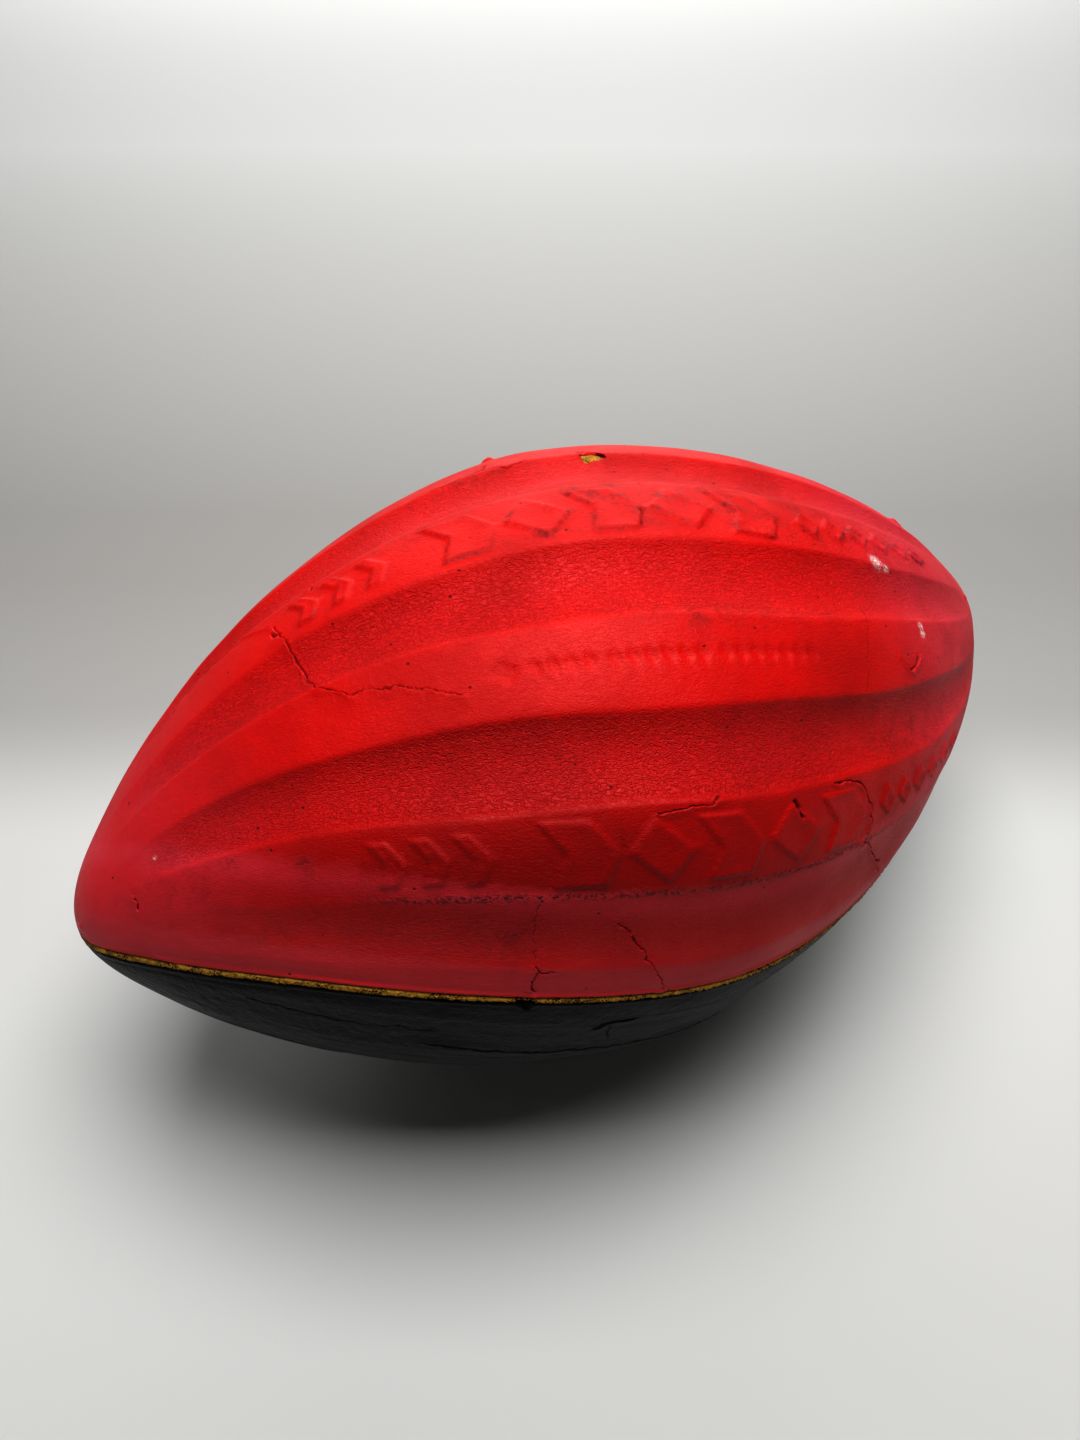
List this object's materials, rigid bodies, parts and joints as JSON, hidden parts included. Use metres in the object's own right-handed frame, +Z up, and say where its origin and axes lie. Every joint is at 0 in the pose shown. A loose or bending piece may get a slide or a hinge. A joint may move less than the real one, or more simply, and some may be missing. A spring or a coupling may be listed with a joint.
{
  "type": "foam football",
  "caption": "Moulded foam football with twisted ribs and flutes, a red upper skin, a black lower skin and a bare foam parting line.",
  "frame": {"origin": "middle of the ball, half way between the two tips on the long axis", "axes": "+X along the long axis to one tip, +Z up through the middle of the red half, -Y to one of the two parting lines at mid-length"},
  "size_m": [0.2506, 0.1506, 0.15],
  "materials": {
    "foam_core": "open-cell polyurethane foam, rough and matte",
    "red_skin": "in-mould polyurethane skin, satin with a fine wrinkled texture",
    "black_skin": "in-mould polyurethane skin, dull satin"
  },
  "bodies": {
    "root": {"foam_core": "foam_core", "red_skin": "red_skin", "black_skin": "black_skin"}
  },
  "joints": []
}
